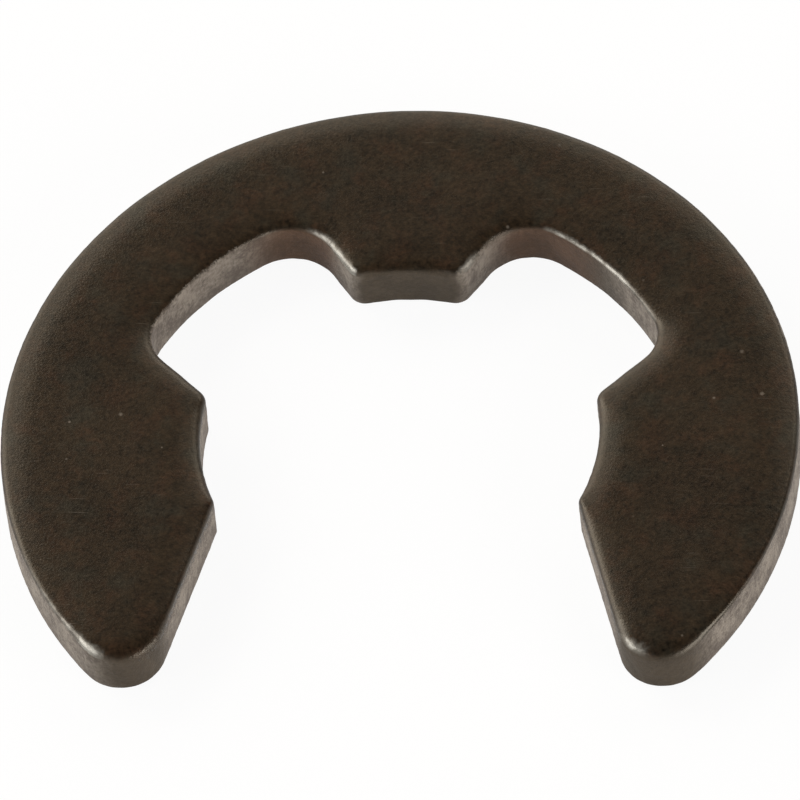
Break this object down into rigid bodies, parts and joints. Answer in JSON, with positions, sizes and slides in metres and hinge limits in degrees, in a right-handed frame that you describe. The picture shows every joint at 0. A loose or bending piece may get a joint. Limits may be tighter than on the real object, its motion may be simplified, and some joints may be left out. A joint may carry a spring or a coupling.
{
  "type": "retaining ring",
  "caption": "Open E-type retaining ring: a flat stamped clip with three inward prongs that snaps sideways into a groove in a shaft.",
  "frame": {"origin": "on the axis of the shaft that the ring grips, in the plane of the ring's lower face", "axes": "+Z along the shaft's axis, out of the face with the rolled edges; +Y from the axis towards the middle prong and the back of the ring; the mouth opens along -Y"},
  "size_m": [0.012, 0.0101, 0.0009],
  "materials": {
    "phosphated_steel": "spring steel with a dark brown phosphate coat, matt on the faces, rougher and paler on the sheared walls, rubbed bright along the rolled edges"
  },
  "bodies": {
    "root": {"retaining_ring": "phosphated_steel"}
  },
  "joints": []
}
